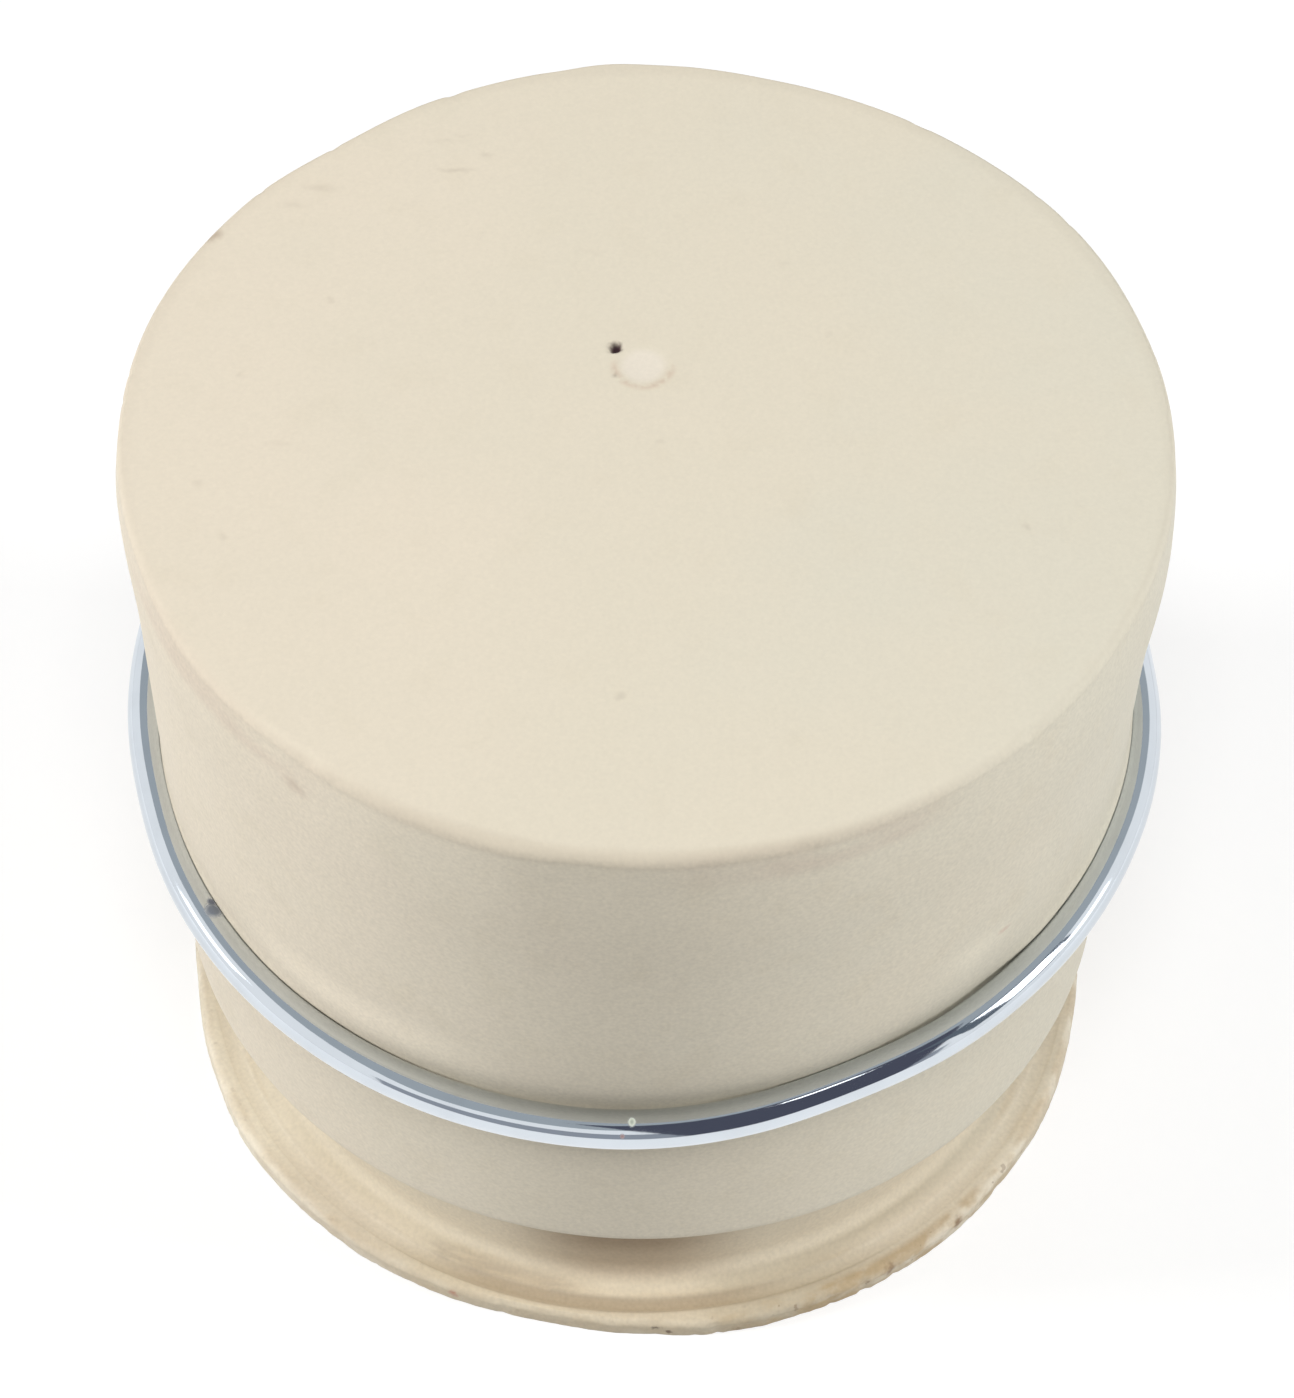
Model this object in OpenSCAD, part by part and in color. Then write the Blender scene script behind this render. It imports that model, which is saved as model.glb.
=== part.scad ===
// Rubber stopper: a moulded rubber puck on an undercut foot, with a chrome wire ring round it.
// The axis is Z, the rubber stands on z = 0, and the front is -Y. Sizes are in millimetres.

/* [Barrel] */
// Diameter of the flat top face, out to where its edge would be sharp
top_d = 40; // [30:0.5:60]
// Height from the floor to the top face
total_h = 34; // [25:0.5:60]
// Height of the barrel's lower edge above the floor
barrel_low_z = 6.9; // [5:0.1:12]
// Draft of the barrel's side, which narrows downwards, in degrees
draft_angle = 1.75; // [0:0.05:4]
// Radius that softens the edge of the top face
top_edge_r = 0.4; // [0.1:0.05:1.5]
// Radius that softens the barrel's lower edge
low_edge_r = 1; // [0.1:0.05:1.25]

/* [Neck and foot] */
// How far the neck is set in from the barrel's lower edge
neck_inset = 2.4; // [1.5:0.1:5]
// How far the foot reaches out from the neck
foot_reach = 2.4; // [1.5:0.1:6]
// Thickness of the foot at its edge
foot_t = 0.85; // [0.6:0.05:3]
// Radius under the barrel's overhang, where the neck begins
root_r = 1.1; // [0.3:0.05:1.5]
// Radius of the cove that joins the neck to the foot
cove_r = 1; // [0.5:0.05:2]
// Radius of the bead that runs round the foot's edge
bead_r = 0.3; // [0.2:0.01:0.5]
// Width of the shallow groove just inside the bead
groove_w = 0.7; // [0.3:0.05:1]
// Depth of that groove
groove_depth = 0.22; // [0.05:0.01:0.3]

/* [Ring] */
// Diameter of the chrome wire
wire_d = 1.54; // [0.8:0.01:3]
// Height of the ring's centre above the floor
ring_z = 18.7; // [12:0.1:26]
// How deep the wire presses into the rubber
ring_bite = 0.2; // [0.05:0.01:0.5]
// How far the ring has ridden up at the back, in degrees
ring_back_tilt = 4.7; // [-6:0.1:6]
// How far the ring has ridden up on the right, in degrees
ring_right_tilt = 2.7; // [-6:0.1:6]
// Room left between the wire and the dent that it presses into the rubber
seat_clear = 0.02; // [0.005:0.005:0.1]

/* [Marks] */
// Diameter of the round gate mark left by moulding
gate_d = 2.2; // [1:0.1:4]
// Depth of the gate mark
gate_depth = 0.06; // [0.02:0.01:0.2]
// Gate mark, right of the axis
gate_x = -0.2; // [-6:0.1:6]
// Gate mark, behind the axis
gate_y = 3.6; // [-6:0.1:6]
// Width of the small pit beside the gate mark
pit_d = 0.6; // [0.2:0.05:1.5]
// Depth of the pit
pit_depth = 0.25; // [0.05:0.05:0.5]
// Pit, right of the axis
pit_x = -1.3; // [-6:0.1:6]
// Pit, behind the axis
pit_y = 4.5; // [-6:0.1:6]

/* [Hidden] */
$fn = 96;

RUBBER = [0.87, 0.84, 0.77];
CHROME = [0.82, 0.85, 0.88];

// Radii of the turned outline
top_r = top_d / 2;
low_r = top_r - (total_h - barrel_low_z) * tan(draft_angle);
neck_r = low_r - neck_inset;
foot_r = neck_r + foot_reach;
// Radius of the round that cuts the groove
groove_r = (groove_w * groove_w / 4 + groove_depth * groove_depth) / (2 * groove_depth);
// Radius of the barrel's side where the ring grips it, and of the ring at the middle of its wire
grip_r = top_r - (total_h - ring_z) * tan(draft_angle);
ring_r = grip_r - ring_bite + wire_d / 2;

// Directions away from a corner, in the half section: x is outward from the axis, y is up
INWARD = [-1, 0];
OUTWARD = [1, 0];
DOWN = [0, -1];
UP = [0, 1];
BARREL_UP = [sin(draft_angle), cos(draft_angle)];

// The piece between a corner and the round of radius r that is tangent to both its sides.
// Taken away, it rounds an outer corner; added, it fills an inner one.
module corner_piece(corner, side_a, side_b, r) {
    half_angle = acos(side_a * side_b) / 2;
    reach = r / tan(half_angle);
    middle = (side_a + side_b) / norm(side_a + side_b);
    centre = corner + middle * r / sin(half_angle);
    difference() {
        polygon([corner, corner + side_a * reach, centre, corner + side_b * reach]);
        translate(centre) circle(r);
    }
}

// The half section before the channel is cut and the edges are softened
module blank_section() {
    polygon([
        [0, 0],
        [foot_r, 0],
        [foot_r, foot_t],
        [low_r, barrel_low_z],
        [top_r, total_h],
        [0, total_h]
    ]);
}

// The channel between barrel and foot, with a root under the overhang and a cove on the foot
module channel_section() {
    difference() {
        translate([neck_r, foot_t])
            square([top_r + foot_r, barrel_low_z - foot_t]);
        corner_piece([neck_r, barrel_low_z], OUTWARD, DOWN, root_r);
        corner_piece([neck_r, foot_t], OUTWARD, UP, cove_r);
    }
}

// The whole half section: barrel, neck, and a thin foot whose edge is a bead
module rubber_section() {
    difference() {
        blank_section();
        channel_section();
        corner_piece([top_r, total_h], INWARD, -BARREL_UP, top_edge_r);
        corner_piece([low_r, barrel_low_z], INWARD, BARREL_UP, low_edge_r);
        corner_piece([foot_r, foot_t], INWARD, DOWN, bead_r);
        translate([foot_r - 2 * bead_r - groove_w / 2, foot_t - groove_depth + groove_r])
            circle(groove_r);
    }
}

// A shallow round dish in the top face, cut by the sphere that gives that width and depth
module dish(x, y, d, depth) {
    ball_r = (d * d / 4 + depth * depth) / (2 * depth);
    translate([x, y, total_h - depth + ball_r]) sphere(ball_r);
}

// A round wire ring at the height and tilt that the chrome ring has
module tilted_ring(wire) {
    translate([0, 0, ring_z])
        rotate([ring_back_tilt, -ring_right_tilt, 0])
            rotate_extrude()
                translate([ring_r, 0])
                    circle(d = wire);
}

// The rubber, moulded in one piece
module rubber_stopper() {
    color(RUBBER)
        difference() {
            rotate_extrude() rubber_section();
            tilted_ring(wire_d + 2 * seat_clear);
            dish(gate_x, gate_y, gate_d, gate_depth);
            dish(pit_x, pit_y, pit_d, pit_depth);
        }
}

// The plated wire ring, held by the rubber's squeeze
module chrome_ring() {
    color(CHROME) tilted_ring(wire_d);
}

rubber_stopper();
chrome_ring();
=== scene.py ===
"""Looks of the rubber stopper: the moulded rubber, its chrome wire ring, floor, lamps and camera.

Lengths are millimetres in the part's own frame until a mesh is made: Z up, the front is -Y.
Azimuths are degrees from the front towards the right.
"""

import functools
import math

import bpy
import numpy as np
from mathutils import Euler, Matrix, Vector, noise

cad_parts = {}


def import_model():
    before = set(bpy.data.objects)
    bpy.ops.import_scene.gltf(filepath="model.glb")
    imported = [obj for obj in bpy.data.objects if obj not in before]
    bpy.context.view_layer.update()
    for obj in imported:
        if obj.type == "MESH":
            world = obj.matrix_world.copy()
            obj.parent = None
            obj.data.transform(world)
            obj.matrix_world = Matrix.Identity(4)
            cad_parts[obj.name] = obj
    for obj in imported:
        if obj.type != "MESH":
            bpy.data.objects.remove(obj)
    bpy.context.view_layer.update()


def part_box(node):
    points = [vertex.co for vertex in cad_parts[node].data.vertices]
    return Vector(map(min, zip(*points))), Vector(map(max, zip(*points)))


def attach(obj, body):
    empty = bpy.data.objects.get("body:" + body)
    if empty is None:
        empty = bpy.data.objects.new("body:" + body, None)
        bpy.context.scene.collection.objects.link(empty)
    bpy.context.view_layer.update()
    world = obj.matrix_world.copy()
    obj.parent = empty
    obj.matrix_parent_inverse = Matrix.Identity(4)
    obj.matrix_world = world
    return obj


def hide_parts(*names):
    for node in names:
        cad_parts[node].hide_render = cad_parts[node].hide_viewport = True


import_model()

MM = 0.001
rubber_low, rubber_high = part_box("rubber_stopper")
ring_low, ring_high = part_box("chrome_ring")

# ---- Sizes of the rubber -------------------------------------------------------------------
TOP_R = rubber_high.x / MM
TOTAL_H = rubber_high.z / MM
BARREL_LOW_Z = 6.9
DRAFT = math.radians(1.75)
LOW_EDGE_R = 1.0
NECK_INSET = 2.4
FOOT_REACH = 2.4
FOOT_T = 0.85
ROOT_R = 1.1
COVE_R = 1.0
BEAD_R = 0.3
GROOVE_W = 0.7
GROOVE_DEPTH = 0.22
LOW_R = TOP_R - (TOTAL_H - BARREL_LOW_Z) * math.tan(DRAFT)
NECK_R = LOW_R - NECK_INSET
FOOT_R = NECK_R + FOOT_REACH

# ---- Sizes of the ring ---------------------------------------------------------------------
WIRE_D = 1.54
RING_BITE = 0.2
# Room left between the wire and its seat in these meshes
SEAT_CLEAR = 0.01
RING_Z = (ring_low.z + ring_high.z) / 2 / MM
RING_BACK_TILT = math.radians(4.7)
RING_RIGHT_TILT = math.radians(2.7)
RING_R = TOP_R - (TOTAL_H - RING_Z) * math.tan(DRAFT) - RING_BITE + WIRE_D / 2
# How far up and down the tight ring draws the rubber in beside it
PINCH_REACH = 1.2

# ---- Marks in the top face -----------------------------------------------------------------
GATE = Vector((-0.2, 3.6, TOTAL_H))
GATE_D = 2.2
GATE_DEPTH = 0.06
PIT = Vector((-1.27, 4.56, TOTAL_H))
PIT_D = 0.6
PIT_DEPTH = 0.25
# Height of the slight waves in the rest of the face
TOP_WAVE = 0.012

# ---- Worn and out of round: (azimuth, millimetres) -----------------------------------------
EDGE_ROUNDING = [(0, 0.5), (60, 0.42), (100, 0.25), (180, 0.2), (260, 0.28), (300, 0.42)]
PINCH = [
    (0, 0.14), (12, 0.22), (30, 0.28), (42, 0.17), (54, -0.04), (64, -0.14), (74, -0.15), (86, -0.02),
    (100, 0.0), (255, 0.0), (275, 0.03), (295, 0.05), (308, 0.07), (325, 0.08), (345, 0.12),
]
GROOVE_WEAR = [(0, 0.0), (18, 0.1), (40, 0.75), (320, 0.8), (342, 0.1)]
TOP_BEND = [
    (0, 0.05), (18, -0.04), (32, -0.15), (60, -0.12), (82, 0.0), (105, 0.1), (125, 0.27),
    (145, 0.18), (165, 0.15), (178, 0.3), (185, 0.4), (192, 0.22), (205, 0.1), (219, -0.14),
    (232, 0.08), (252, 0.17), (272, 0.06), (290, -0.1), (305, -0.04), (320, -0.15), (335, 0.03),
    (346, 0.12), (354, 0.0),
]
FOOT_BEND = [
    (0, -0.1), (10, 0.16), (25, 0.17), (42, 0.18), (54, 0.03), (60, 0.04), (80, -0.07), (120, 0.0),
    (180, 0.1), (240, 0.0), (268, 0.2), (276, 0.03), (290, 0.12), (300, 0.24), (310, 0.15),
    (322, 0.07), (335, -0.1), (350, -0.27),
]
RING_BEND = [
    (0, 0.15), (8, 0.06), (23, -0.16), (40, 0.07), (60, 0.2), (74, 0.2), (84, 0.06),
    (95, -0.3), (118, -0.08), (150, 0.0), (200, 0.0), (235, 0.05), (260, 0.15), (272, 0.08),
    (284, -0.07), (298, 0.05), (312, 0.09), (345, 0.12),
]
# Lip of rubber that the wire has squeezed up beside itself
SQUEEZE = [
    (0, 0.0), (40, 0.0), (56, 0.1), (85, 0.12), (105, 0.05), (240, 0.05), (270, 0.1), (312, 0.1),
    (332, 0.0),
]
# Bulge of the barrel above the ring: (azimuth, millimetres outward), (azimuth, its height), and how
# far up and down it reaches
BULGE = [(0, 0.1), (60, 0.2), (86, 0.25), (120, 0.2), (180, 0.1), (240, 0.15), (275, 0.165), (310, 0.14)]
BULGE_Z = [(0, 29.5), (86, 30.8), (180, 30.5), (275, 31.8)]
BULGE_REACH = 2.6

# ---- Mesh resolution -----------------------------------------------------------------------
SEGMENTS = 520
TOP_DISC_R = 17.0
DENT_REACH = 1.9
RING_SEGMENTS = 720
WIRE_SEGMENTS = 40


def smooth(x, low, high):
    """0 below low, 1 above high, and a smooth rise between, for numbers or arrays."""
    t = np.clip((x - low) / (high - low), 0, 1)
    return t * t * (3 - 2 * t)


def bend(table, azimuth):
    """The bend at an azimuth in radians, eased between the table's entries."""
    turn = math.degrees(azimuth) % 360
    entries = table + [(table[0][0] + 360, table[0][1])]
    for (a, low), (b, high) in zip(entries, entries[1:]):
        if a <= turn <= b:
            return low + (high - low) * float(smooth(turn, a, b))
    return table[0][1]


@functools.lru_cache(maxsize=None)
def ring_bend(azimuth):
    """The ring's bend at an azimuth in radians, eased over ten degrees so that its gloss runs on."""
    return sum(bend(RING_BEND, azimuth + math.radians(k)) for k in range(-5, 6)) / 11


def ripple(x, y, z, size, seed):
    """Smooth noise, about -1 to 1, that changes over lengths of about size."""
    return noise.noise(Vector((x, y, z)) / size + Vector((seed, 2.7 * seed, -1.3 * seed)))


def arc(centre, radius, start, end, steps):
    """Points of a round, from angle start to end in degrees: 0 is outward, 90 is up."""
    angles = [math.radians(start + (end - start) * i / steps) for i in range(steps + 1)]
    return [(centre[0] + radius * math.cos(a), centre[1] + radius * math.sin(a)) for a in angles]


def line(start, end, steps):
    """Points from start to end, both left out."""
    shares = [i / steps for i in range(1, steps)]
    return [(start[0] + (end[0] - start[0]) * s, start[1] + (end[1] - start[1]) * s) for s in shares]


def side_r(z):
    """Radius of the drafted barrel at a height."""
    return TOP_R - (TOTAL_H - z) * math.tan(DRAFT)


def ring_height(azimuth):
    """Height of the tilted ring's middle at an azimuth in radians."""
    x = RING_R * math.sin(azimuth)
    y = -RING_R * math.cos(azimuth)
    return RING_Z + y * math.tan(RING_BACK_TILT) + x * math.tan(RING_RIGHT_TILT)


def upper_outline(azimuth):
    """From the flat top over its edge, which is worn rounder at the front than at the back."""
    edge_r = bend(EDGE_ROUNDING, azimuth)
    lean = (edge_r / math.cos(DRAFT)) * (1 + math.sin(DRAFT))
    edge = arc((TOP_R - lean, TOTAL_H - edge_r), edge_r, 90, -math.degrees(DRAFT), 10)
    flat = [(TOP_DISC_R + 0.34 * i, TOTAL_H) for i in range(8)]
    return flat + edge


def lower_outline():
    """From the barrel's lower edge, round the channel and the foot, and in under the foot."""
    lean = (LOW_EDGE_R / math.cos(DRAFT)) * (1 - math.sin(DRAFT))
    groove_ball = (GROOVE_W**2 / 4 + GROOVE_DEPTH**2) / (2 * GROOVE_DEPTH)
    groove_half = math.degrees(math.asin(GROOVE_W / 2 / groove_ball))
    groove_centre = (FOOT_R - 2 * BEAD_R - GROOVE_W / 2, FOOT_T - GROOVE_DEPTH + groove_ball)
    low_centre = (LOW_R - lean, BARREL_LOW_Z + LOW_EDGE_R)
    points = arc(low_centre, LOW_EDGE_R, -math.degrees(DRAFT), -90, 8)
    points += arc((NECK_R + ROOT_R, BARREL_LOW_Z - ROOT_R), ROOT_R, 90, 180, 8)
    points += line((NECK_R, BARREL_LOW_Z - ROOT_R), (NECK_R, FOOT_T + COVE_R), 7)
    points += arc((NECK_R + COVE_R, FOOT_T + COVE_R), COVE_R, 180, 269, 12)
    points += arc(groove_centre, groove_ball, 270 - groove_half, 270 + groove_half, 10)
    points += arc((FOOT_R - BEAD_R, FOOT_T - BEAD_R), BEAD_R, 100, 0, 8)
    points += line((FOOT_R, FOOT_T - BEAD_R), (FOOT_R, 0), 6)
    points += [(FOOT_R, 0.04), (FOOT_R - 0.04, 0), (18.6, 0), (16, 0), (9, 0)]
    return points


def wall_r(azimuth, z):
    """Radius of the barrel without the wire's seat: bulged above, and drawn in beside the ring."""
    away = (z - ring_height(azimuth)) / PINCH_REACH
    above = (z - bend(BULGE_Z, azimuth)) / BULGE_REACH
    lip = (abs(z - ring_height(azimuth)) - 0.55) / 0.35
    r = side_r(z) - bend(PINCH, azimuth) * math.exp(-away * away)
    r += bend(SQUEEZE, azimuth) * math.exp(-lip * lip)
    return r + bend(BULGE, azimuth) * math.exp(-above * above)


def seat_r(azimuth, away):
    """Radius of the hollow that the wire lies in, at a height beside the wire's middle."""
    wire_r = math.sqrt(RING_R**2 - (ring_height(azimuth) - RING_Z) ** 2) + ring_bend(azimuth)
    seat = WIRE_D / 2 + SEAT_CLEAR
    return wire_r - math.sqrt(max(0.0, seat**2 - away**2))


def seat_corner(azimuth, way):
    """How far above the wire's middle (way 1), or below it (way -1), the seat ends at the barrel."""
    middle = ring_height(azimuth)
    inner, outer = 0.0, WIRE_D / 2
    for _ in range(24):
        half = (inner + outer) / 2
        if seat_r(azimuth, half) < wall_r(azimuth, middle + way * half):
            inner = half
        else:
            outer = half
    return middle + way * max(inner, 0.05)


def barrel_rows(azimuth, top, bottom):
    """Radii and heights down the barrel at one azimuth; the rows close up and tilt with the ring."""
    middle = ring_height(azimuth)
    upper, lower = seat_corner(azimuth, 1), seat_corner(azimuth, -1)
    stops = [(top, 16), (middle + DENT_REACH, 16), (upper, 8), (lower, 16), (middle - DENT_REACH, 14)]
    rows = []
    for (high, steps), (low, _) in zip(stops, stops[1:] + [(bottom, 0)]):
        heights = [high + (low - high) * i / steps for i in range(steps)]
        if high == upper:
            rows += [(min(wall_r(azimuth, z), seat_r(azimuth, z - middle)), z) for z in heights]
        else:
            rows += [(wall_r(azimuth, z), z) for z in heights]
    return rows[1:]


def rim_cuts(rng):
    """Depth of the short knife cuts that trimmed the foot's rim, one value per segment."""
    corners, depths = [0.0], [0.0]
    while corners[-1] < 2 * math.pi:
        corners.append(corners[-1] + rng.uniform(0.05, 0.2))
        depths.append(rng.uniform(-0.04, 0.04))
    depths[-1] = depths[0]
    azimuths = np.arange(SEGMENTS) * 2 * math.pi / SEGMENTS
    return np.interp(azimuths, np.array(corners) * 2 * math.pi / corners[-1], depths)


def shaped(azimuth, r, z, cut):
    """A point of the turned outline, moved to where wear, trimming and handling have put it."""
    x, y = r * math.sin(azimuth), -r * math.cos(azimuth)
    edge = float(smooth(r, TOP_DISC_R, TOP_R - 0.5)) * float(smooth(z, 24, 33.5))
    rim = float(smooth(r, FOOT_R - 0.55, FOOT_R - 0.05)) * float(smooth(-z, -1.6, -1.2))
    chip = max(0.0, ripple(x, y, z, 0.9, 4) - 0.35) * float(smooth(r, TOP_R - 0.6, TOP_R - 0.2))
    chip *= float(smooth(z, TOTAL_H - 0.8, TOTAL_H - 0.4))
    nick = max(0.0, ripple(x, y, 0, 0.6, 3) - 0.3)
    r += edge * bend(TOP_BEND, azimuth) - 0.1 * chip
    r += rim * (bend(FOOT_BEND, azimuth) + cut - 0.25 * nick + 0.03 * ripple(x, y, 3 * z, 0.35, 8))
    if z > 1.5:
        r += 0.02 * ripple(x, y, z, 8, 1) + 0.006 * ripple(x, y, z, 2.2, 2)
    if 0.5 < z < FOOT_T and FOOT_R - 2 * BEAD_R - GROOVE_W < r < FOOT_R - 2 * BEAD_R:
        z += (FOOT_T - z) * bend(GROOVE_WEAR, azimuth)
    z -= 0.15 * chip
    return r, z


def place(azimuth, r, z):
    return (r * math.sin(azimuth) * MM, -r * math.cos(azimuth) * MM, z * MM)


def rubber_mesh():
    """The rubber as one closed mesh: turned outline, ring dent, moulding marks, trimmed rim."""
    lower = lower_outline()
    cuts = rim_cuts(np.random.default_rng(11))
    columns = []
    for j in range(SEGMENTS):
        azimuth = 2 * math.pi * j / SEGMENTS
        upper = upper_outline(azimuth)
        outline = upper + barrel_rows(azimuth, upper[-1][1], lower[0][1]) + lower
        columns.append([place(azimuth, *shaped(azimuth, r, z, cuts[j])) for r, z in outline])
    count = len(columns[0])
    points = [columns[j][i] for i in range(count) for j in range(SEGMENTS)]
    faces = []
    for i in range(count - 1):
        a, b = i * SEGMENTS, (i + 1) * SEGMENTS
        for j in range(SEGMENTS):
            k = (j + 1) % SEGMENTS
            faces.append((a + j, b + j, b + k, a + k))
    close_under(points, faces, (count - 1) * SEGMENTS)
    close_top(points, faces)
    return new_mesh("rubber", points, faces)


def close_under(points, faces, start):
    """Closes the flat underside with a fan."""
    points.append((0, 0, 0))
    hub = len(points) - 1
    for j in range(SEGMENTS):
        faces.append((start + j, hub, start + (j + 1) % SEGMENTS))


def dish_depth(x, y, centre, width, depth):
    """Depth of a shallow round dish at a place in the top face."""
    away = math.hypot(x - centre.x, y - centre.y) / (width / 2)
    return depth * (1 - away * away) if away < 1 else 0.0


def top_drop(x, y):
    """How far the top face lies below its highest plane: gate mark, ragged pit, slight waves."""
    ragged = PIT_D * (1 + 0.5 * ripple(x, y, 0, 0.3, 5))
    drop = dish_depth(x, y, GATE, GATE_D, GATE_DEPTH)
    drop += dish_depth(x, y, PIT, ragged, PIT_DEPTH)
    inside = float(smooth(TOP_DISC_R - math.hypot(x, y), 0, 2))
    return drop + TOP_WAVE * (1 + ripple(x, y, 0, 5, 6)) * inside


def close_top(points, faces):
    """Fills the flat top inside TOP_DISC_R: half as many segments, and fine rows near the marks."""
    half = SEGMENTS // 2
    radii = [16, 14.5, 13, 11.5, 10, 8.5, 7.2, 6.2]
    radii += [5.6 - 0.07 * i for i in range(46)] + [2.1, 1.6, 1.1, 0.6, 0.25]
    starts = []
    for r in radii:
        starts.append(len(points))
        for j in range(half):
            azimuth = 4 * math.pi * j / SEGMENTS
            x, y = r * math.sin(azimuth), -r * math.cos(azimuth)
            points.append(place(azimuth, r, TOTAL_H - top_drop(x, y)))
    for j in range(half):
        k = (j + 1) % half
        a, b, c = 2 * j, 2 * j + 1, (2 * j + 2) % SEGMENTS
        faces.append((a, b, starts[0] + j))
        faces.append((b, c, starts[0] + k, starts[0] + j))
    for a, b in zip(starts, starts[1:]):
        for j in range(half):
            k = (j + 1) % half
            faces.append((b + j, a + j, a + k, b + k))
    points.append((0, 0, (TOTAL_H - top_drop(0, 0)) * MM))
    hub = len(points) - 1
    for j in range(half):
        faces.append((hub, starts[-1] + j, starts[-1] + (j + 1) % half))


def new_mesh(name, points, faces):
    mesh = bpy.data.meshes.new(name)
    mesh.from_pydata(points, [], faces)
    mesh.validate()
    mesh.polygons.foreach_set("use_smooth", [True] * len(mesh.polygons))
    obj = bpy.data.objects.new(name, mesh)
    bpy.context.scene.collection.objects.link(obj)
    return obj


def ring_turn():
    """The turn that tilts the ring."""
    return Matrix.Rotation(-RING_RIGHT_TILT, 3, "Y") @ Matrix.Rotation(RING_BACK_TILT, 3, "X")


def ring_mesh():
    """The wire ring: round wire bent to a ring that is a touch out of round, lying aslant."""
    turn = ring_turn()
    points, faces = [], []
    for i in range(RING_SEGMENTS):
        azimuth = 2 * math.pi * i / RING_SEGMENTS
        outward = Vector((math.sin(azimuth), -math.cos(azimuth), 0))
        reach = RING_R + ring_bend(azimuth)
        for j in range(WIRE_SEGMENTS):
            t = 2 * math.pi * j / WIRE_SEGMENTS
            spot = outward * (reach + WIRE_D / 2 * math.cos(t))
            spot.z = WIRE_D / 2 * math.sin(t)
            points.append((turn @ spot + Vector((0, 0, RING_Z))) * MM)
    for i in range(RING_SEGMENTS):
        a, b = i * WIRE_SEGMENTS, (i + 1) % RING_SEGMENTS * WIRE_SEGMENTS
        for j in range(WIRE_SEGMENTS):
            k = (j + 1) % WIRE_SEGMENTS
            faces.append((a + j, b + j, b + k, a + k))
    return new_mesh("wire_ring", points, faces)


# ---- Materials -----------------------------------------------------------------------------
def srgb(r, g, b):
    """A colour given as 0 to 255 display values, as the linear colour that a shader takes."""
    values = [v / 255 for v in (r, g, b)]
    return [v / 12.92 if v <= 0.04045 else ((v + 0.055) / 1.055) ** 2.4 for v in values] + [1]


# The chrome plate's one colour
CHROME_TINT = srgb(214, 221, 228)


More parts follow.
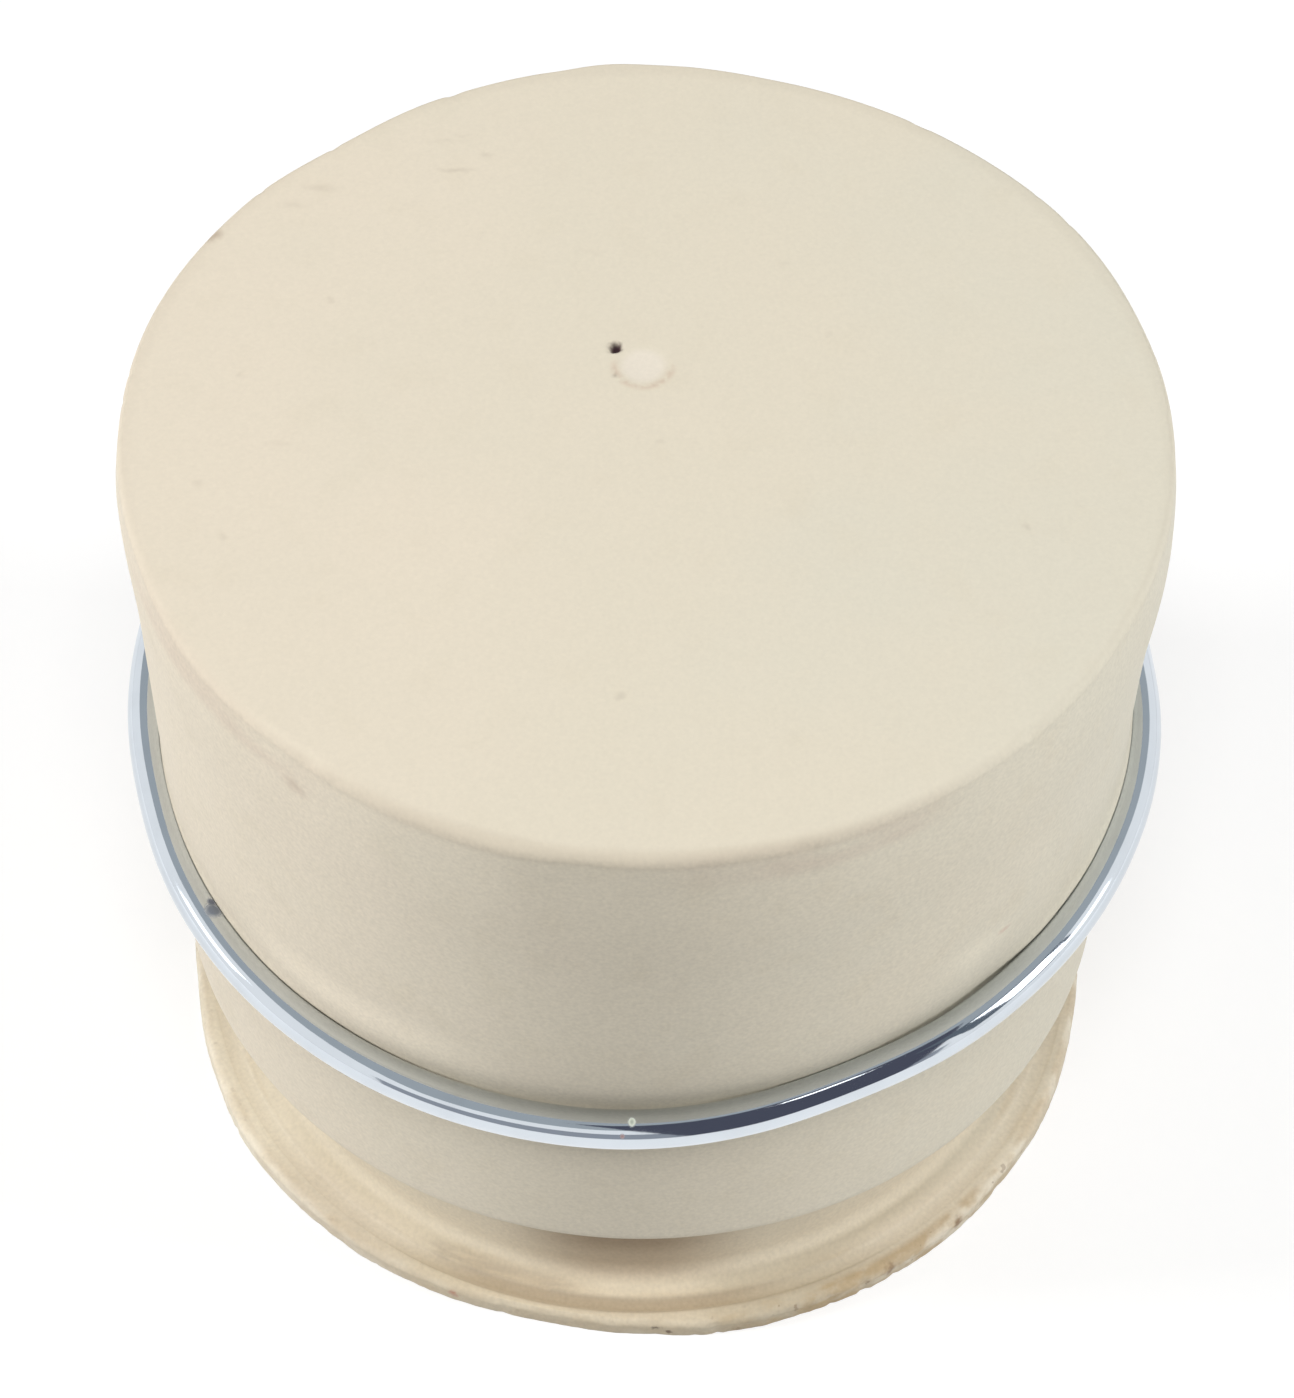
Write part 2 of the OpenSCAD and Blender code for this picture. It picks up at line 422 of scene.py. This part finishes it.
class Nodes:
    """A node tree, with short calls to add and join nodes."""

    def __init__(self, tree):
        self.tree = tree

    def add(self, kind, **settings):
        node = self.tree.nodes.new(kind)
        for name, value in settings.items():
            setattr(node, name, value)
        return node

    def feed(self, socket, value):
        """Puts a number, a colour or another node's output into a socket."""
        if isinstance(value, bpy.types.NodeSocket):
            self.tree.links.new(value, socket)
        else:
            socket.default_value = value

    def place_mm(self):
        """The place on the object, in millimetres."""
        scale = self.add("ShaderNodeVectorMath", operation="SCALE")
        scale.inputs["Scale"].default_value = 1 / MM
        self.feed(scale.inputs[0], self.add("ShaderNodeTexCoord").outputs["Object"])
        return scale.outputs[0]

    def split(self, vector):
        node = self.add("ShaderNodeSeparateXYZ")
        self.feed(node.inputs[0], vector)
        return node.outputs

    def join(self, x, y, z):
        node = self.add("ShaderNodeCombineXYZ")
        for socket, value in zip(node.inputs, (x, y, z)):
            self.feed(socket, value)
        return node.outputs[0]

    def math(self, operation, a, b=0.0):
        node = self.add("ShaderNodeMath", operation=operation)
        self.feed(node.inputs[0], a)
        self.feed(node.inputs[1], b)
        return node.outputs[0]

    def product(self, *values):
        total = values[0]
        for value in values[1:]:
            total = self.math("MULTIPLY", total, value)
        return total

    def noise(self, vector, size, detail=3.0, seed=0.0):
        """Noise from 0 to 1 whose patches are about size across."""
        node = self.add("ShaderNodeTexNoise", noise_dimensions="4D")
        node.inputs["W"].default_value = seed
        node.inputs["Scale"].default_value = 1 / size
        node.inputs["Detail"].default_value = detail
        self.feed(node.inputs["Vector"], vector)
        return node.outputs["Fac"]

    def ramp(self, value, low, high):
        """0 at low, 1 at high, smooth between; low may be the larger."""
        node = self.add("ShaderNodeMapRange", interpolation_type="SMOOTHSTEP")
        node.inputs["From Min"].default_value = low
        node.inputs["From Max"].default_value = high
        self.feed(node.inputs["Value"], value)
        return node.outputs["Result"]

    def band(self, value, low, high, soft):
        """1 between low and high, 0 outside, with edges soft wide."""
        rise = self.ramp(value, low - soft / 2, low + soft / 2)
        return self.product(rise, self.ramp(value, high + soft / 2, high - soft / 2))

    def mix(self, amount, a, b):
        node = self.add("ShaderNodeMix", data_type="RGBA")
        self.feed(node.inputs["Factor"], amount)
        self.feed(node.inputs[6], a)
        self.feed(node.inputs[7], b)
        return node.outputs[2]

    def shade(self, colour, amount):
        """The colour times a number."""
        node = self.add("ShaderNodeVectorMath", operation="SCALE")
        self.feed(node.inputs[0], colour)
        self.feed(node.inputs["Scale"], amount)
        return node.outputs[0]

    def scaled(self, amount, low, high):
        """A number from low to high as amount goes from 0 to 1."""
        node = self.add("ShaderNodeMapRange")
        node.inputs["To Min"].default_value = low
        node.inputs["To Max"].default_value = high
        self.feed(node.inputs["Value"], amount)
        return node.outputs["Result"]

    def ragged(self, vector, size, amount, seed):
        """The place, shifted by noise by up to about amount."""
        node = self.add("ShaderNodeTexNoise", noise_dimensions="4D")
        node.inputs["W"].default_value = seed
        node.inputs["Scale"].default_value = 1 / size
        self.feed(node.inputs["Vector"], vector)
        centred = self.add("ShaderNodeVectorMath", operation="SUBTRACT")
        centred.inputs[1].default_value = (0.5, 0.5, 0.5)
        self.feed(centred.inputs[0], node.outputs["Color"])
        shift = self.add("ShaderNodeVectorMath", operation="MULTIPLY_ADD")
        shift.inputs[1].default_value = (4 * amount,) * 3
        self.feed(shift.inputs[0], centred.outputs[0])
        self.feed(shift.inputs[2], vector)
        return shift.outputs[0]

    def spot(self, vector, centre, size, core=0.35):
        """1 at a place and 0 beyond half of size from it, in millimetres along each axis."""
        shift = self.add("ShaderNodeVectorMath", operation="SUBTRACT")
        shift.inputs[1].default_value = centre
        self.feed(shift.inputs[0], vector)
        squeeze = self.add("ShaderNodeVectorMath", operation="MULTIPLY")
        squeeze.inputs[1].default_value = [2 / s for s in size]
        self.feed(squeeze.inputs[0], shift.outputs[0])
        length = self.add("ShaderNodeVectorMath", operation="LENGTH")
        self.feed(length.inputs[0], squeeze.outputs[0])
        return self.ramp(length.outputs["Value"], 1.0, core)


def new_material(name):
    material = bpy.data.materials.new(name)
    material.use_nodes = True
    return material, Nodes(material.node_tree), material.node_tree.nodes["Principled BSDF"]


def on_side(azimuth, z, r):
    """A place on the side, by azimuth in degrees, height and radius."""
    a = math.radians(azimuth)
    return (r * math.sin(a), -r * math.cos(a), z)


# Marks on the rubber: place, size across, strength, colour
TOP_SPECKS = [
    ((-12.4, 6.8), (0.5, 0.5), 0.12), ((-15.7, -5.3), (0.6, 0.6), 0.1), ((14.2, -4.2), (0.5, 0.5), 0.14),
    ((-15.6, 2.8), (0.5, 0.4), 0.09), ((0.5, -0.3), (0.5, 0.4), 0.09), ((-16.8, -2.8), (0.6, 0.6), 0.09),
    ((-0.84, -12.6), (0.6, 0.6), 0.12), ((5.2, 9.1), (0.6, 0.5), 0.07), ((6.9, 5.4), (0.5, 0.5), 0.06),
    ((-13.9, -0.7), (1.6, 0.5), 0.07), ((-7.8, 14.0), (2.2, 0.5), 0.16), ((-6.6, 14.9), (1.0, 0.5), 0.12),
    ((-8.2, 15.6), (2.6, 0.4), 0.05), ((-13.1, 12.9), (2.0, 0.8), 0.12), ((-14.2, 11.9), (1.6, 0.7), 0.08),
    ((-7.6, 16.0), (1.2, 0.4), 0.06), ((-2.4, 9.6), (2.0, 0.5), 0.04), ((-1.28, 3.12), (0.45, 0.5), 0.45),
]
SIDE_SPECKS = [
    ((-39, 32.0), (1.7, 1.1), 0.35, srgb(176, 150, 132)),
    ((45, 21.7), (0.9, 0.6), 0.35, srgb(206, 160, 140)),
    ((-120.6, 33.9), (1.2, 0.7), 0.5, srgb(150, 120, 96)),
]
RIM_SPECKS = [
    ((-57, 1.9), 0.35, srgb(96, 74, 58)),
    ((2.7, 0.5), 0.4, srgb(82, 58, 44)),
    ((4.4, 0.3), 0.35, srgb(96, 70, 52)),
    ((-23, 0.5), 0.6, srgb(190, 130, 110)),
    ((44.4, 0.5), 0.7, srgb(120, 88, 60)),
    ((33.2, 0.5), 0.8, srgb(128, 96, 66)),
]


def turned(n, x, y):
    """Distance from the axis, and the way round from the front in millimetres at the barrel's foot."""
    radius = n.math("SQRT", n.math("ADD", n.product(x, x), n.product(y, y)))
    return radius, n.product(n.math("ARCTAN2", x, n.product(y, -1.0)), LOW_R)


def rubber_colour(n, vector, up):
    """Cream rubber, yellowing on the foot, with grain, blotches, dirt and specks, and painted light and
    shade: shade under the barrel and in the foot's groove, light just above the ring.
    """
    x, y, z = n.split(vector)
    radius, along = turned(n, x, y)
    cream, pink, green = srgb(230, 221, 201), srgb(234, 223, 203), srgb(226, 220, 202)
    blotch = n.noise(vector, 9, 3, 1)
    drift = n.math("ADD", n.product(x, 0.03), blotch)
    colour = n.mix(n.ramp(drift, 0.5, 0.0), cream, pink)
    colour = n.mix(n.ramp(drift, 0.5, 1.1), colour, green)
    worn = n.product(n.ramp(n.noise(vector, 1.6, 3, 2), 0.5, 0.8), n.scaled(up, 0.3, 0.15))
    colour = n.mix(worn, colour, srgb(219, 208, 184))
    colour = foot_colour(n, colour, along, radius, z)
    colour = rim_colour(n, colour, vector, along, radius, z)
    colour = edge_colour(n, colour, along, radius, z)
    # Painted light: paler patches on the barrel just above the ring.
    colour = n.shade(colour, painted_glow_above_ring(n, along, x, y, z))
    frayed = n.ragged(vector, 0.5, 0.12, 31)
    for (px, py), size, strength in TOP_SPECKS:
        spot = n.spot(frayed, (px, py, TOTAL_H), (*size, 0.9), 0.0)
        colour = n.mix(n.product(spot, strength), colour, srgb(124, 102, 82))
    for (azimuth, height), (wide, tall), strength, tint in SIDE_SPECKS:
        spot = n.spot(frayed, on_side(azimuth, height, side_r(height)), (wide, wide, tall), 0.0)
        colour = n.mix(n.product(spot, strength), colour, tint)
    colour = gate_colour(n, colour, vector, x, y)
    grain = n.math("SUBTRACT", n.noise(vector, 0.16, 1, 9), 0.5)
    return n.shade(colour, n.math("ADD", n.product(grain, n.scaled(up, 0.24, 0.09)), 1.0))


def foot_colour(n, colour, along, radius, z):
    """Yellowing and streaks below the barrel, and painted light and shade: on the foot, under the barrel
    and in the groove.
    """
    streaks = n.noise(n.join(n.product(along, 0.18), n.product(radius, 1.2), z), 0.9, 3, 3)
    below = n.ramp(z, BARREL_LOW_Z + 0.25, BARREL_LOW_Z - 0.5)
    far = n.math("ABSOLUTE", along)
    # The foot's tone round its way: partly yellowing, partly painted light and shade, paler towards the
    # left and the sides and darker just right of the front.
    yellowing_and_painted_lighting = n.mix(n.ramp(along, -6, -9), srgb(213, 200, 176), srgb(214, 202, 178))
    yellowing_and_painted_lighting = n.mix(n.ramp(along, -15, -22), yellowing_and_painted_lighting, srgb(232, 222, 200))
    yellowing_and_painted_lighting = n.mix(n.ramp(along, 1.5, 5.0), yellowing_and_painted_lighting, srgb(194, 182, 159))
    yellowing_and_painted_lighting = n.mix(n.ramp(along, 13, 22), yellowing_and_painted_lighting, srgb(211, 202, 182))
    outer = n.product(n.ramp(radius, FOOT_R - 2.0, FOOT_R - 1.3), n.ramp(far, 7, 13))
    edge = n.mix(n.ramp(along, 15, 20), srgb(223, 212, 192), srgb(228, 219, 200))
    yellowing_and_painted_lighting = n.mix(outer, yellowing_and_painted_lighting, n.mix(n.ramp(along, -15, -20), edge, srgb(240, 231, 211)))
    colour = n.mix(n.product(below, n.scaled(streaks, 0.65, 1.15)), colour, yellowing_and_painted_lighting)
    dark_streaks = n.product(below, n.ramp(streaks, 0.52, 0.7), 0.25)
    colour = n.mix(dark_streaks, colour, srgb(200, 180, 146))
    neck = n.product(below, n.ramp(radius, NECK_R + 0.5, NECK_R + 0.15))
    colour = n.mix(n.product(neck, 0.85), colour, srgb(233, 222, 200))
    # Painted shadow on the neck at the front, under the barrel's low edge.
    front = n.ramp(n.math("ABSOLUTE", n.math("ADD", along, 0.4)), 7.0, 1.0)
    upper = n.scaled(n.ramp(z, 2.2, 3.4), 0.7, 1.0)
    painted_front_shadow = n.product(n.ramp(radius, NECK_R + 0.6, NECK_R + 0.05), n.ramp(z, 5.5, 4.0), front, upper)
    colour = n.mix(n.product(painted_front_shadow, 0.72), colour, srgb(146, 120, 92))
    # Painted shade under the barrel's overhang, all round.
    under = n.ramp(radius, LOW_R - 0.3, LOW_R - 1.2)
    root = n.product(n.band(z, BARREL_LOW_Z - 2.2, BARREL_LOW_Z, 1.2), under)
    colour = n.mix(n.product(root, 0.3), colour, srgb(176, 150, 116))
    flat = n.ramp(z, FOOT_T + 0.5, FOOT_T + 0.2)
    # Painted shade in the groove, strongest at the front.
    near = n.ramp(n.math("ABSOLUTE", n.math("ADD", along, 1.5)), 10.0, 4.0)
    groove = n.product(n.band(radius, FOOT_R - 1.3, FOOT_R - 0.7, 0.4), flat, n.scaled(near, 0.1, 0.75))
    colour = n.mix(groove, colour, srgb(162, 144, 118))
    front_left = n.band(along, -8.5, -2.5, 3)
    inside = n.product(n.band(radius, FOOT_R - 1.9, FOOT_R - 1.2, 0.5), flat, front_left)
    return n.mix(n.product(inside, 0.5), colour, srgb(176, 158, 132))


def rim_colour(n, colour, vector, along, radius, z):
    """Smudges on the foot's left, and brown soil and crumbs on the cut side of its rim."""
    smudge_at = n.product(n.band(along, -9.8, -3.0, 1.5), n.band(radius, 17.3, 18.1, 0.5))
    drawn_out = n.join(n.product(along, 0.35), n.product(radius, 1.6), z)
    dashes = n.ramp(n.noise(drawn_out, 0.5, 2, 4), 0.35, 0.6)
    low = n.ramp(z, 3.0, 2.0)
    colour = n.mix(n.product(smudge_at, dashes, low, 0.5), colour, srgb(176, 164, 146))
    side = n.product(n.ramp(radius, FOOT_R - 0.6, FOOT_R - 0.2), low)
    unrolled = n.join(n.product(along, 0.6), radius, n.product(z, 1.5))
    blots = n.ramp(n.noise(unrolled, 0.9, 4, 6), 0.38, 0.6)
    right = n.product(n.ramp(along, 2.0, 8.0), n.scaled(n.ramp(along, 16, 21), 1.0, 0.35))
    colour = n.mix(n.product(side, n.scaled(right, 0.2, 0.75), blots), colour, srgb(184, 160, 122))
    crumbs = n.ramp(n.noise(vector, 0.45, 2, 7), 0.66, 0.72)
    colour = n.mix(n.product(side, crumbs, n.scaled(right, 0.12, 0.5)), colour, srgb(126, 94, 64))
    frayed = n.ragged(vector, 0.3, 0.1, 32)
    for (azimuth, height), size, tint in RIM_SPECKS:
        spot = n.spot(frayed, on_side(azimuth, height, FOOT_R), (size,) * 3, 0.3)
        colour = n.mix(n.product(spot, 0.8), colour, tint)
    return colour


def edge_colour(n, colour, along, radius, z):
    """The top edge darker, most at the front: partly soil, partly painted shade that dulls the edge's
    highlight; and patches of soil just below.
    """
    high = n.ramp(z, TOTAL_H - 0.8, TOTAL_H - 0.25)
    edge = n.product(n.ramp(radius, TOP_R - 0.65, TOP_R - 0.15), high)
    front = n.scaled(n.ramp(n.math("ABSOLUTE", n.math("ADD", along, 2)), 14, 5), 0.25, 1.0)
    # Partly soil, partly painted shade that dulls the rounded edge's highlight, most at the front.
    colour = n.mix(n.product(edge, front, 0.3), colour, srgb(176, 160, 140))
    drawn_out = n.join(n.product(along, 0.35), n.product(radius, 1.0), z)
    patchy = n.ramp(n.noise(drawn_out, 1.6, 3, 5), 0.3, 0.65)
    where = n.math("MAXIMUM", n.band(along, -24, -12, 6), n.band(along, 2, 11, 4))
    outside = n.ramp(radius, TOP_R - 0.5, TOP_R - 0.2)
    below = n.product(n.band(z, TOTAL_H - 1.7, TOTAL_H - 0.2, 0.9), outside)
    return n.mix(n.product(below, patchy, where, 0.25), colour, srgb(196, 170, 154))


def painted_glow_above_ring(n, along, x, y, z):
    """Painted light: paler patches on the barrel just above the ring, at the front left and on the right:
    a factor for the colour.
    """
    rise_back, rise_right = math.tan(RING_BACK_TILT), math.tan(RING_RIGHT_TILT)
    plane = n.math("ADD", n.product(y, rise_back), n.product(x, rise_right))
    above = n.math("SUBTRACT", n.math("SUBTRACT", z, RING_Z), plane)
    left = n.product(n.band(above, 1.2, 3.2, 1.8), n.band(along, -15.5, -6.5, 5), 0.15)
    right = n.product(n.band(above, 2.9, 4.2, 1.6), n.band(along, 12.4, 14.8, 3), 0.12)
    return n.math("ADD", n.math("ADD", left, right), 1.0)


def gate_colour(n, colour, vector, x, y):
    """The gate mark: a paler disc with a broken tan outline, and a dark pit beside it."""
    away_x, away_y = n.math("SUBTRACT", x, GATE.x), n.math("SUBTRACT", y, GATE.y)
    away = n.math("SQRT", n.math("ADD", n.product(away_x, away_x), n.product(away_y, away_y)))
    up = n.ramp(n.split(vector)[2], TOTAL_H - 0.6, TOTAL_H - 0.4)
    disc = n.product(up, n.ramp(away, GATE_D / 2 - 0.05, GATE_D / 2 - 0.5))
    colour = n.mix(n.product(disc, 0.75), colour, srgb(238, 229, 214))
    worn = n.ramp(n.noise(vector, 0.5, 2, 8), 0.35, 0.6)
    front = n.ramp(away_y, 0.5, -0.3)
    outline = n.product(up, n.band(away, GATE_D / 2 - 0.12, GATE_D / 2 + 0.12, 0.34), front, worn)
    colour = n.mix(n.product(outline, 0.6), colour, srgb(208, 184, 162))
    frayed = n.ragged(vector, 0.3, 0.07, 33)
    pit = n.spot(frayed, (PIT.x, PIT.y, TOTAL_H - 0.1), (PIT_D + 0.16, PIT_D + 0.3, 1.5), 0.25)
    return n.mix(pit, colour, srgb(62, 38, 44))


def rubber_material():
    material, n, shader = new_material("cream_rubber")
    vector = n.place_mm()
    up = n.ramp(n.split(vector)[2], TOTAL_H - 0.35, TOTAL_H - 0.1)
    n.feed(shader.inputs["Base Color"], rubber_colour(n, vector, up))
    n.feed(shader.inputs["Roughness"], n.scaled(n.noise(vector, 2.5, 3, 12), 0.5, 0.68))
    shader.inputs["Specular IOR Level"].default_value = 0.35
    shader.inputs["Sheen Weight"].default_value = 0.06
    shader.inputs["Sheen Roughness"].default_value = 0.3
    grain = n.add("ShaderNodeBump")
    n.feed(grain.inputs["Strength"], n.scaled(up, 0.33, 0.15))
    grain.inputs["Distance"].default_value = 0.02 * MM
    n.feed(grain.inputs["Height"], n.noise(vector, 0.22, 2, 10))
    waves = n.add("ShaderNodeBump")
    n.feed(waves.inputs["Strength"], n.scaled(up, 0.25, 0.1))
    waves.inputs["Distance"].default_value = 0.05 * MM
    n.feed(waves.inputs["Height"], n.noise(vector, 1.8, 2, 11))
    n.feed(waves.inputs["Normal"], grain.outputs[0])
    n.feed(shader.inputs["Normal"], waves.outputs[0])
    return material


# Dull marks on the plating, two grey-blue and one pinkish: (way round the ring, way round the wire), size,
# colour
PLATING_MARKS = [
    ((-57.4, 114), 0.95, srgb(120, 128, 142)),
    ((-58.6, 124), 0.5, srgb(104, 110, 126)),
    ((-1.6, 42), 0.26, srgb(176, 150, 150)),
]
# The solder dab where the wire's ends meet: way round the ring, and round the wire
SOLDER = (-0.6, 84)


def wire_place(azimuth, turn):
    """A place on the wire's surface: the way round the ring, and round the wire from outward to up."""
    a, t = math.radians(azimuth), math.radians(turn)
    spot = Vector((math.sin(a), -math.cos(a), 0)) * (RING_R + ring_bend(a) + WIRE_D / 2 * math.cos(t))
    spot.z = WIRE_D / 2 * math.sin(t)
    return ring_turn() @ spot + Vector((0, 0, RING_Z))


def chrome_material():
    """Chrome plate with faint haze and waves, and a dab of solder where the wire's ends meet."""
    material, n, shader = new_material("chrome_plate")
    vector = n.place_mm()
    haze = n.ramp(n.noise(vector, 1.5, 4, 21), 0.35, 0.75)
    tint = n.shade(CHROME_TINT[:3], n.scaled(haze, 1.0, 0.96))
    solder = n.spot(vector, wire_place(*SOLDER), (0.4, 0.5, 0.54), 0.45)
    core = n.spot(vector, wire_place(*SOLDER), (0.2, 0.3, 0.3), 0.1)
    dab = n.mix(core, srgb(214, 221, 208), srgb(172, 182, 172))
    colour = n.mix(solder, tint, dab)
    dull = solder
    for (azimuth, around), size, mark in PLATING_MARKS:
        spot = n.spot(vector, wire_place(azimuth, around), (size,) * 3, 0.35)
        colour = n.mix(spot, colour, mark)
        dull = n.math("MAXIMUM", dull, spot)
    n.feed(shader.inputs["Base Color"], colour)
    n.feed(shader.inputs["Metallic"], n.scaled(dull, 1.0, 0.25))
    n.feed(shader.inputs["Roughness"], n.math("ADD", n.scaled(haze, 0.04, 0.1), n.product(dull, 0.35)))
    waves = n.add("ShaderNodeBump")
    waves.inputs["Strength"].default_value = 0.15
    waves.inputs["Distance"].default_value = 0.03 * MM
    n.feed(waves.inputs["Height"], n.noise(vector, 0.9, 2, 22))
    n.feed(shader.inputs["Normal"], waves.outputs[0])
    return material


# ---- Floor, lamps and camera ---------------------------------------------------------------
FLOOR_BOUNCE = 0.5
# What the floor adds for rays that see it, so that it shows as white
FLOOR_GLOW = 1 - FLOOR_BOUNCE + 0.06
WORLD_LIGHT = 0.21


def seen_directly(n):
    """1 for rays that show the background: from the camera, in gloss or through glass."""
    path = n.add("ShaderNodeLightPath")
    shown = n.math("MAXIMUM", path.outputs["Is Camera Ray"], path.outputs["Is Glossy Ray"])
    return n.math("MAXIMUM", shown, path.outputs["Is Transmission Ray"])


def floor():
    """A plain pale floor. It bounces half of the light, and shows as white with soft shadows."""
    size = 2.0
    points = [(-size, -size, 0), (size, -size, 0), (size, size, 0), (-size, size, 0)]
    obj = new_mesh("floor", points, [(0, 1, 2, 3)])
    material, n, shader = new_material("floor_white")
    shader.inputs["Base Color"].default_value = (FLOOR_BOUNCE, FLOOR_BOUNCE, FLOOR_BOUNCE, 1)
    shader.inputs["Roughness"].default_value = 1
    shader.inputs["Specular IOR Level"].default_value = 0
    shader.inputs["Emission Color"].default_value = (1, 1, 1, 1)
    n.feed(shader.inputs["Emission Strength"], n.product(seen_directly(n), FLOOR_GLOW))
    obj.data.materials.append(material)


def world():
    scene_world = bpy.data.worlds.new("studio")
    scene_world.use_nodes = True
    bpy.context.scene.world = scene_world
    n = Nodes(scene_world.node_tree)
    back = scene_world.node_tree.nodes["Background"]
    back.inputs["Color"].default_value = (1, 1, 1, 1)
    n.feed(back.inputs["Strength"], n.scaled(seen_directly(n), WORLD_LIGHT, 1))


# Lamps: way round and up from the part in degrees, distance and size in metres, level
LAMPS = [
    ("left_lamp", -86, 25, 0.6, (0.16, 0.16), 0.61),
    ("right_lamp", 82, 25, 0.6, (0.16, 0.16), 0.5),
    ("high_lamp", 0, 64, 0.7, (0.25, 0.2), 0.372),
]
# Plain cards round the part, which only glossy rays see. They stand still in the studio, as lamp
# faces and flags do: way round and up from the part in degrees, distance and size in metres,
# colour, brightness
CARDS = [
    ("grey_wall", 0, 10, 1.6, (3.4, 1.0), srgb(160, 164, 172), 1),
    ("ceiling", 0, 90, 1.3, (2.2, 2.2), srgb(176, 182, 186), 1),
    ("dark_screen", 24, 40, 0.9, (0.66, 1.5), srgb(84, 86, 100), 1),
    ("ceiling_lamp", 40, 70, 0.8, (0.07, 0.07), srgb(255, 255, 255), 3),
    ("window_frame", 66, 36, 0.7, (0.3, 0.5), srgb(104, 112, 122), 1),
    ("window", 70, 36, 0.62, (0.14, 0.34), srgb(255, 255, 255), 3),
    ("left_face", -86, 25, 0.6, (0.16, 0.16), srgb(255, 255, 255), 2),
    ("right_face", 82, 25, 0.6, (0.16, 0.16), srgb(255, 255, 255), 2),
]


def aim_at_part(obj, azimuth, elevation, distance):
    """Puts a lamp or a card at its place in the studio, turned to face the part's middle."""
    a, e = math.radians(azimuth), math.radians(elevation)
    towards = Vector((math.sin(a) * math.cos(e), -math.cos(a) * math.cos(e), math.sin(e)))
    obj.location = Vector((0, 0, TOTAL_H / 2 * MM)) + towards * distance
    obj.rotation_euler = towards.to_track_quat("Z", "Y").to_euler()


def card(name, azimuth, elevation, distance, size, colour, strength):
    """A flat card of one colour. It adds no light and casts no shadow: it only shows in gloss."""
    x, y = size[0] / 2, size[1] / 2
    obj = new_mesh(name, [(-x, -y, 0), (x, -y, 0), (x, y, 0), (-x, y, 0)], [(0, 1, 2, 3)])
    aim_at_part(obj, azimuth, elevation, distance)
    obj.visible_camera = False
    obj.visible_diffuse = False
    obj.visible_shadow = False
    obj.visible_transmission = False
    material, _, shader = new_material(name)
    shader.inputs["Base Color"].default_value = (0, 0, 0, 1)
    shader.inputs["Specular IOR Level"].default_value = 0
    shader.inputs["Emission Color"].default_value = colour
    shader.inputs["Emission Strength"].default_value = strength
    obj.data.materials.append(material)


def lamp(name, azimuth, elevation, distance, size, level):
    """A rectangular lamp aimed at the object. level is the light it puts on a surface that faces it,
    where 1 shows a colour as written."""
    data = bpy.data.lights.new(name, "AREA")
    data.shape = "RECTANGLE"
    data.size, data.size_y = size
    data.energy = level * math.pi * math.pi * distance**2
    obj = bpy.data.objects.new(name, data)
    aim_at_part(obj, azimuth, elevation, distance)
    obj.visible_glossy = False
    bpy.context.scene.collection.objects.link(obj)


# The camera: multiples of the top's radius back from and above the part's origin, and degrees
CAMERA_BACK = 5.692
CAMERA_UP = 8.055
CAMERA_PITCH = 51.50
CAMERA_YAW = 0.08
CAMERA_ROLL = 0.97
LENS = 115.88


def camera_place():
    return Vector((0, -CAMERA_BACK, CAMERA_UP)) * TOP_R * MM


def camera():
    data = bpy.data.cameras.new("camera")
    data.lens = LENS
    data.sensor_width = 36
    data.clip_start = 0.01
    obj = bpy.data.objects.new("camera", data)
    obj.location = camera_place()
    look = Euler((math.radians(90 - CAMERA_PITCH), 0, -math.radians(CAMERA_YAW))).to_matrix()
    obj.rotation_euler = (look @ Matrix.Rotation(math.radians(CAMERA_ROLL), 3, "Z")).to_euler()
    bpy.context.scene.collection.objects.link(obj)
    bpy.context.scene.camera = obj


def finish_piece(obj, material, node):
    obj.data.materials.append(material)
    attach(obj, "root")
    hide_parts(node)


finish_piece(rubber_mesh(), rubber_material(), "rubber_stopper")
finish_piece(ring_mesh(), chrome_material(), "chrome_ring")
floor()
world()
for values in CARDS:
    card(*values)
for values in LAMPS:
    lamp(*values)
camera()

bpy.context.scene.view_settings.view_transform = "Standard"
